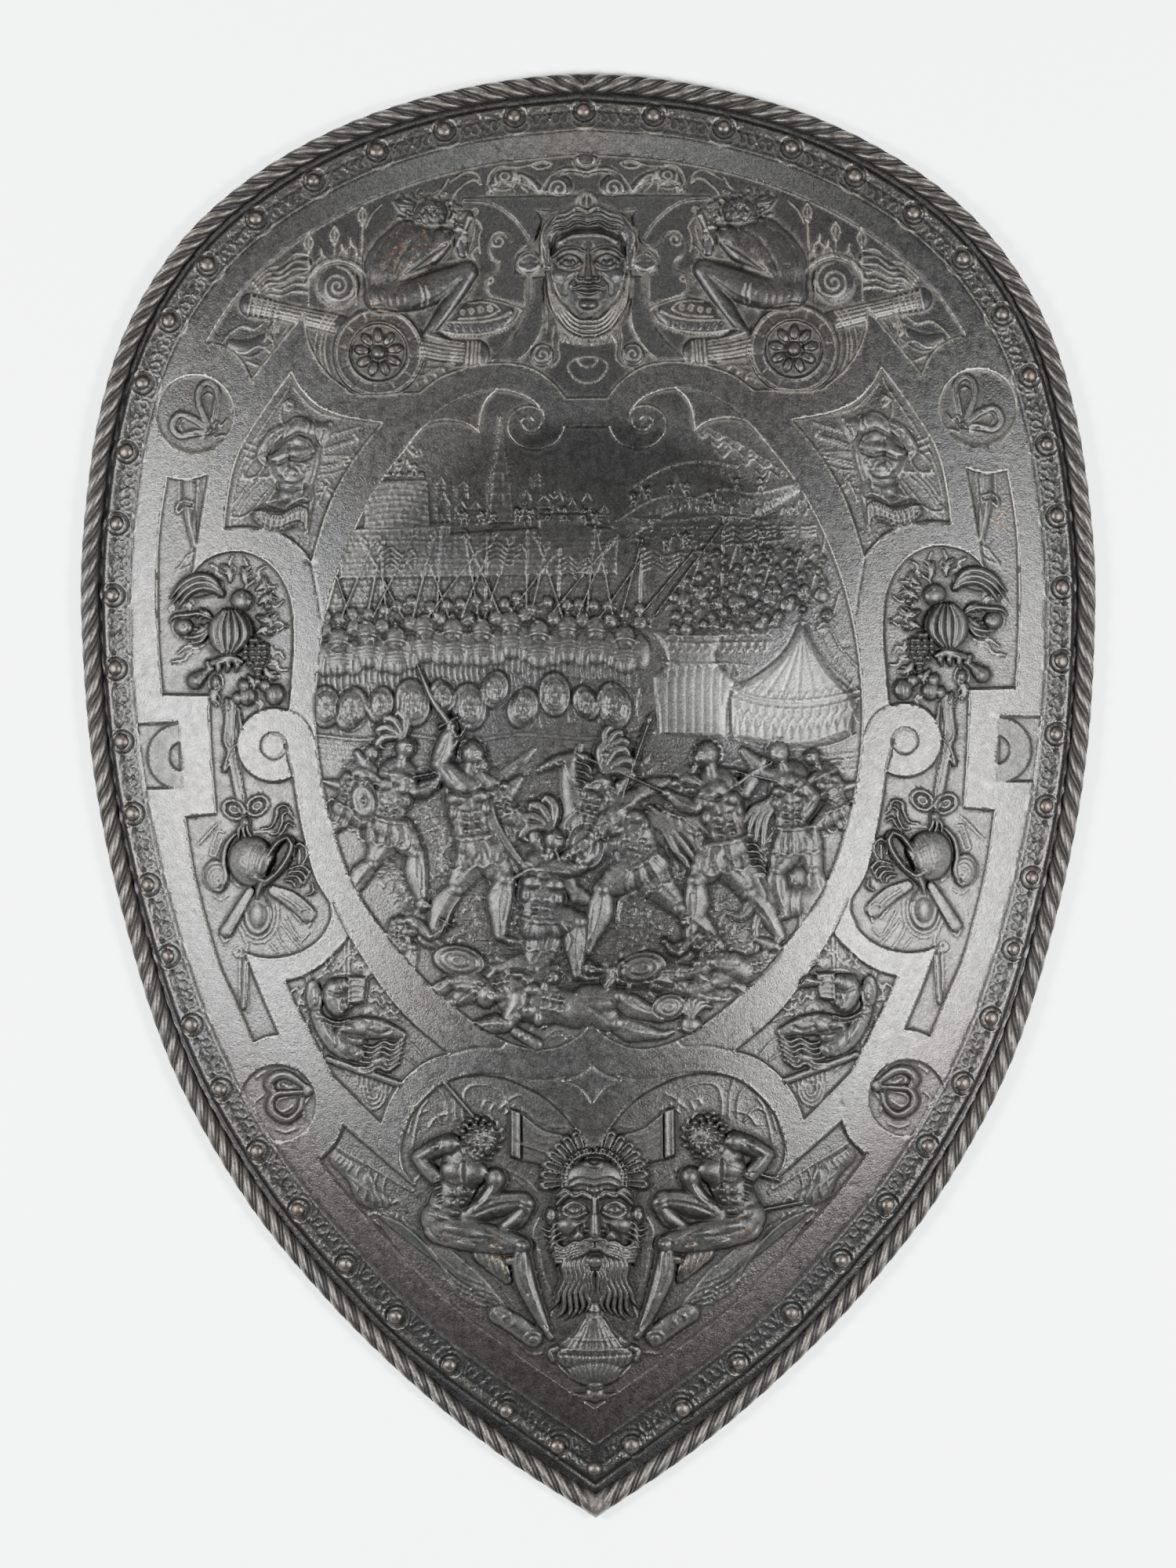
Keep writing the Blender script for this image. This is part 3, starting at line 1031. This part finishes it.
    # the back: smooth, a sheet's thickness behind the windows
    plan, ids, fixed, edges = [], [], {}, []
    border = ring(under, known=ring_g)
    holes = [ring([verts[v][:2] for v in h], known=h) for h in back_holes]
    for j in range(-7, 8):
        for i in range(-5, 6):
            x, y = (i * 42 + (21 if j % 2 else 0)) * SX, j * 40 * SY
            if -280 * SY < y < 290 * SY and abs(x) < (half_width(y / SY) - 34) * SX:
                plan.append((x, y))
                ids.append(-1)
    pts, tris, source = triangulate(plan, edges, border, holes)
    index = []
    for p, s in zip(pts, source):
        index.append(ids[s] if s >= 0 and ids[s] >= 0 else put((p[0], p[1], float(swell(*p)) - depth)))
    faces.extend(tuple(index[k] for k in t) for t in tris[:, ::-1])
    return verts, faces


def rivet_mesh(spot, nrm):
    """A domed head standing just clear of the plate, on a shank that passes through it."""
    head, shank = RIVET_HEAD_RADIUS * 1000, RIVET_SHANK_RADIUS * 1000
    seat, tall = RIVET_SEAT * 1000, RIVET_HEAD_HEIGHT * 1000
    depth = (WINDOW_DEPTH * RELIEF + THICKNESS - BAND_STEP * RELIEF) * 1000 * nrm.z + RIVET_TAIL * 1000
    rings = [(head * 0.66, seat + tall * 0.74), (head, seat), (shank, seat), (shank, -depth)]
    verts = [spot + nrm * (seat + tall)]
    for r, lift in rings:
        verts += [spot + p for p in across(nrm, r, lift)]
    n = RIVET_SIDES
    faces = [(0, 1 + k, 1 + (k + 1) % n) for k in range(n)]
    for a in range(3):
        for k in range(n):
            p, q = 1 + n * a + k, 1 + n * a + (k + 1) % n
            faces += [(p, p + n, q + n), (p, q + n, q)]
    last = 1 + 3 * n
    faces += [(last, last + k + 1, last + k) for k in range(1, n - 1)]
    return [tuple(v) for v in verts], faces


def add_object(name, verts, faces):
    mesh = bpy.data.meshes.new(name)
    mesh.from_pydata([tuple(c * 0.001 for c in v) for v in verts], [], faces)
    solid = bmesh.new()
    solid.from_mesh(mesh)
    loose = [v for v in solid.verts if not v.link_faces]
    bmesh.ops.delete(solid, geom=loose, context="VERTS")
    bmesh.ops.recalc_face_normals(solid, faces=solid.faces)
    solid.to_mesh(mesh)
    solid.free()
    obj = bpy.data.objects.new(name, mesh)
    bpy.context.collection.objects.link(obj)
    return obj


def main():
    for obj in list(bpy.data.objects):
        bpy.data.objects.remove(obj)
    places = rivet_places()
    add_object("Plate", *plate_mesh(Sheet(), places))
    for name, spot, nrm in places:
        add_object(name, *rivet_mesh(spot, nrm))


main()
